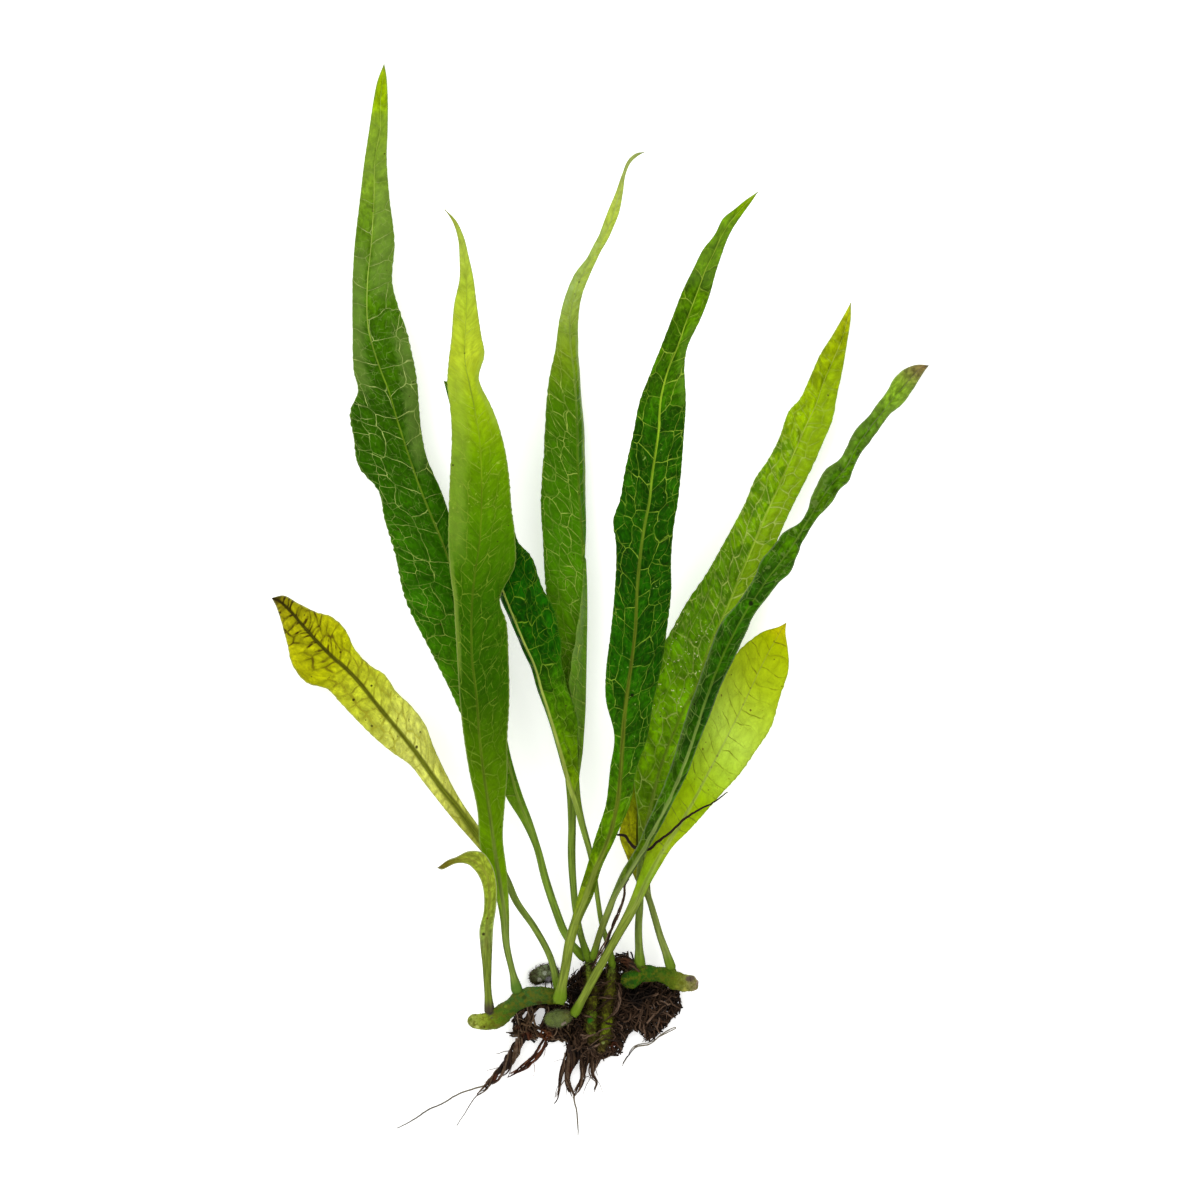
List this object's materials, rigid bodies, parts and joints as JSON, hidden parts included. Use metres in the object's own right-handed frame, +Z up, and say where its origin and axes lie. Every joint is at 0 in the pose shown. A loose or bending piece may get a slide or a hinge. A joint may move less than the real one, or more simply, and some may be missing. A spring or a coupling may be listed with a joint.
{
  "type": "java fern plant",
  "caption": "Java fern with creeping rhizomes, long leathery fronds and a mat of dark roots, picked and laid flat",
  "frame": {"origin": "middle of the plant's outline on the surface it lies on", "axes": "+Z up from that surface, +Y from the roots to the tips of the fronds, +X to the right in the view from above"},
  "size_m": [0.1579, 0.2576, 0.0204],
  "materials": {
    "leaf_dark": "dark green leathery frond, satin, pale netted veins",
    "leaf_mid": "mid green leathery frond, satin, pale netted veins",
    "leaf_bright": "bright yellow-green frond, satin, wet gloss in places",
    "leaf_pale": "pale yellow-green frond, satin, faint brownish veins",
    "leaf_yellow": "old yellow frond with olive-brown midrib and veins",
    "rhizome_green": "smooth green creeping stem, dull",
    "rhizome_mossy": "thin stem covered in green and olive film, dull",
    "rhizome_grey": "grey-green fuzzy stem end, dull",
    "root_dark": "wiry dark brown fibrous roots, dull",
    "root_hair": "fine grey-brown root hairs, dull"
  },
  "bodies": {
    "root": {"frond_tall_left": "leaf_dark", "frond_bright_left": "leaf_bright", "frond_curled_young": "leaf_pale", "frond_dark_centre": "leaf_dark", "frond_yellow_left": "leaf_yellow", "frond_twisted_tip": "leaf_mid", "frond_folded_dark": "leaf_dark", "frond_bright_right": "leaf_bright", "frond_narrow_right": "leaf_dark", "frond_broad_pale": "leaf_pale", "frond_old_yellow": "leaf_yellow", "rhizome_left": "rhizome_green", "rhizome_middle": "rhizome_mossy", "rhizome_back": "rhizome_mossy", "rhizome_right": "rhizome_green", "rhizome_front": "rhizome_grey", "rhizome_old_end": "rhizome_grey", "root_mat_left": "root_dark", "root_mat_right": "root_dark", "root_left_long": "root_dark", "root_left_outer": "root_dark", "root_hair_left": "root_hair", "root_middle_left": "root_dark", "root_middle_inner": "root_dark", "root_middle_loop": "root_dark", "root_middle_right": "root_dark", "root_hair_middle": "root_hair", "root_right_strand": "root_hair", "root_across_fronds": "root_dark", "root_at_stalk": "root_dark"}
  },
  "joints": []
}
